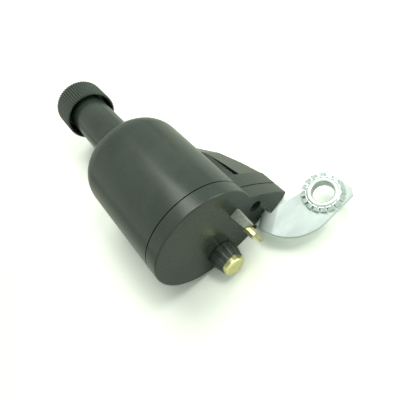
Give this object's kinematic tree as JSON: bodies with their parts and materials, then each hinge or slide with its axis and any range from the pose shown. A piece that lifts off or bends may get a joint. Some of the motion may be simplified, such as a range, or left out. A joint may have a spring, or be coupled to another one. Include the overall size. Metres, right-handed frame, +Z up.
{
  "type": "bicycle bottle dynamo",
  "caption": "Bicycle bottle dynamo lying on its side: black barrel with a long narrow neck, knurled friction roller, brass terminals and a hinged zinc-plated bracket.",
  "frame": {"origin": "centre of the bounding box at table level, with the barrel lying on the table", "axes": "+X along the barrel from the end cover to the roller, the bracket stands out towards -Y, +Z up"},
  "size_m": [0.1152, 0.065, 0.04],
  "materials": {
    "black_plastic": "satin",
    "zinc_steel": "satin",
    "plain_steel": "satin",
    "core_iron": "matte",
    "yellow_brass": "satin",
    "bronze": "matte",
    "copper_wire": "satin",
    "ferrite": "matte",
    "light_metal": "satin",
    "white_plastic": "satin",
    "seal_rubber": "matte",
    "felt": "matte"
  },
  "bodies": {
    "housing": {"body_shell": "black_plastic", "end_cover": "black_plastic", "terminal_block": "black_plastic", "cover_gasket": "seal_rubber", "dust_seal": "seal_rubber", "oil_felt": "felt", "lower_bush": "bronze", "upper_bush": "bronze", "claw_plate_lower": "core_iron", "claw_plate_upper": "core_iron", "stator_sleeve": "core_iron", "coil_bobbin": "white_plastic", "coil_winding": "copper_wire", "wave_washer": "plain_steel", "hinge_pin": "core_iron", "torsion_spring": "plain_steel", "live_blade": "yellow_brass", "live_strip": "yellow_brass", "earth_stud": "yellow_brass", "earth_strip": "yellow_brass"},
    "rotor": {"shaft": "plain_steel", "magnet_hub": "light_metal", "magnet": "ferrite", "retaining_ring": "plain_steel", "hub_washer": "plain_steel", "thrust_washer": "plain_steel", "neck_washer": "plain_steel", "roller_core": "black_plastic", "roller": "black_plastic", "roller_nut": "plain_steel"},
    "bracket_arm": {"bracket": "zinc_steel", "eyelet": "zinc_steel"},
    "washer_ring": {"lock_washer": "zinc_steel"},
    "thumb_nut": {"earth_nut": "yellow_brass", "nut_sleeve": "black_plastic"}
  },
  "joints": [
    {"name": "rotor_spin", "type": "hinge", "parent": "housing", "child": "rotor", "pos_m": [0, 0.0125, 0.02], "axis": [1, 0, 0], "continuous": true},
    {"name": "bracket_swing", "type": "hinge", "parent": "housing", "child": "bracket_arm", "pos_m": [-0.03325, -0.0069, 0.0132], "axis": [-1, 0, 0], "range_deg": [0, 14], "stiffness_Nm_per_rad": 0.4, "springref_deg": -17.19, "deforming": ["torsion_spring"]},
    {"name": "washer_turn", "type": "hinge", "parent": "bracket_arm", "child": "washer_ring", "pos_m": [-0.05035, -0.0255, 0.00995], "axis": [0, 0, 1], "continuous": true},
    {"name": "nut_turn", "type": "hinge", "parent": "housing", "child": "thumb_nut", "pos_m": [-0.04285, 0.0125, 0.007], "axis": [-1, 0, 0], "continuous": true}
  ]
}
